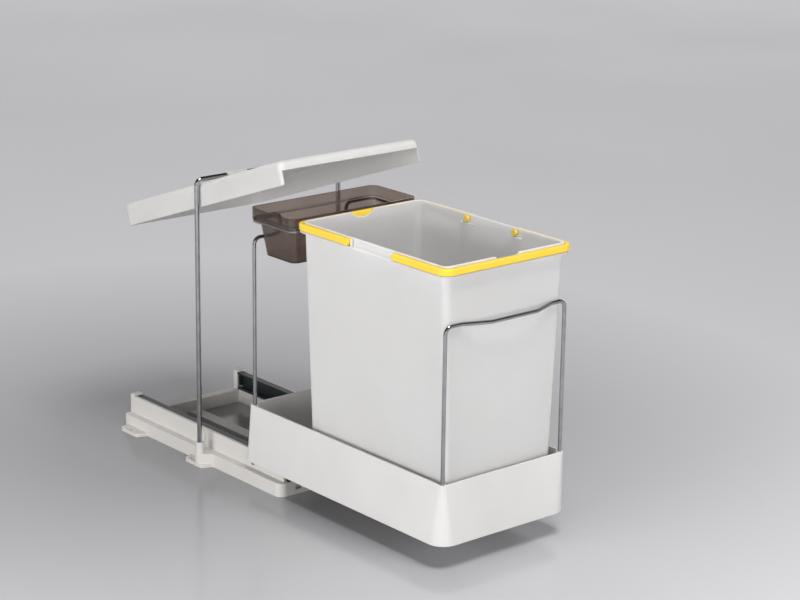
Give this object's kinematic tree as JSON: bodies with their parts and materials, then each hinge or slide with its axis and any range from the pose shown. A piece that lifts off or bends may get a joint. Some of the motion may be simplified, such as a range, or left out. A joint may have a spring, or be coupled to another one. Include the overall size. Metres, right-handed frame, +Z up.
{
  "type": "pull out bin frame",
  "caption": "Pull-out kitchen bin frame: a floor base with ball slides, a sliding carrier, a bin with bail handles, a small tray and a tilting lid on a wire frame.",
  "frame": {"origin": "centre of the four floor screw holes, on the floor", "axes": "+X to the right seen from the front, +Y to the rear of the cabinet, +Z up; the carrier pulls out along -Y"},
  "size_m": [0.2672, 0.7414, 0.4853],
  "materials": {
    "base_plastic": "fine satin, warm white",
    "rail_steel": "dark coated steel",
    "screw_steel": "plain zinc",
    "buffer_rubber": "matt black",
    "chrome_wire": "bright chrome",
    "lid_plastic": "satin white",
    "zinc_steel": "zinc plated",
    "ball_steel": "polished",
    "carrier_plastic": "satin off-white",
    "bin_plastic": "satin, slightly milky",
    "yellow_plastic": "satin yellow",
    "smoky_plastic": "clear smoky brown"
  },
  "bodies": {
    "base": {"base_frame": "base_plastic", "left_outer_rail": "rail_steel", "right_outer_rail": "rail_steel", "left_rail_screws": "screw_steel", "right_rail_screws": "screw_steel", "left_rail_buffer": "buffer_rubber", "right_rail_buffer": "buffer_rubber", "lid_frame": "chrome_wire"},
    "carrier": {"carrier": "carrier_plastic", "left_inner_rail": "zinc_steel", "right_inner_rail": "zinc_steel", "left_inner_rail_screws": "screw_steel", "right_inner_rail_screws": "screw_steel", "front_hoop": "chrome_wire", "rear_hoop": "chrome_wire"},
    "left_cage": {"left_ball_cage": "zinc_steel", "left_balls": "ball_steel"},
    "right_cage": {"right_ball_cage": "zinc_steel", "right_balls": "ball_steel"},
    "lid": {"lid": "lid_plastic"},
    "bin": {"bin": "bin_plastic"},
    "front_handle": {"front_handle": "yellow_plastic", "front_handle_pins": "yellow_plastic"},
    "rear_handle": {"rear_handle": "yellow_plastic", "rear_handle_pins": "yellow_plastic"},
    "tray": {"tray": "smoky_plastic"}
  },
  "joints": [
    {"name": "carrier_slide", "type": "slide", "parent": "base", "child": "carrier", "axis": [0, -1, 0], "range_m": [-0.31, 0]},
    {"name": "left_cage_slide", "type": "slide", "parent": "base", "child": "left_cage", "axis": [0, -1, 0], "range_m": [-0.155, 0]},
    {"name": "right_cage_slide", "type": "slide", "parent": "base", "child": "right_cage", "axis": [0, -1, 0], "range_m": [-0.155, 0]},
    {"name": "lid_hinge", "type": "hinge", "parent": "base", "child": "lid", "pos_m": [0, -0.1, 0.427], "axis": [1, 0, 0], "range_deg": [0, 19.5]},
    {"name": "bin_lift", "type": "slide", "parent": "carrier", "child": "bin", "axis": [0, 0, 1], "range_m": [0, 0.25]},
    {"name": "tray_lift", "type": "slide", "parent": "carrier", "child": "tray", "axis": [0, 0, 1], "range_m": [0, 0.04]},
    {"name": "front_handle_hinge", "type": "hinge", "parent": "bin", "child": "front_handle", "pos_m": [0, -0.514, 0.40075], "axis": [-1, 0, 0], "range_deg": [0, 90]},
    {"name": "rear_handle_hinge", "type": "hinge", "parent": "bin", "child": "rear_handle", "pos_m": [0, -0.417, 0.40075], "axis": [1, 0, 0], "range_deg": [0, 90]}
  ],
  "couplings": [
    {"joint": "left_cage_slide", "follows": "carrier_slide", "ratio": 0.5},
    {"joint": "right_cage_slide", "follows": "carrier_slide", "ratio": 0.5},
    {"joint": "lid_hinge", "follows": "carrier_slide", "rad_per_m": -1.0979}
  ]
}
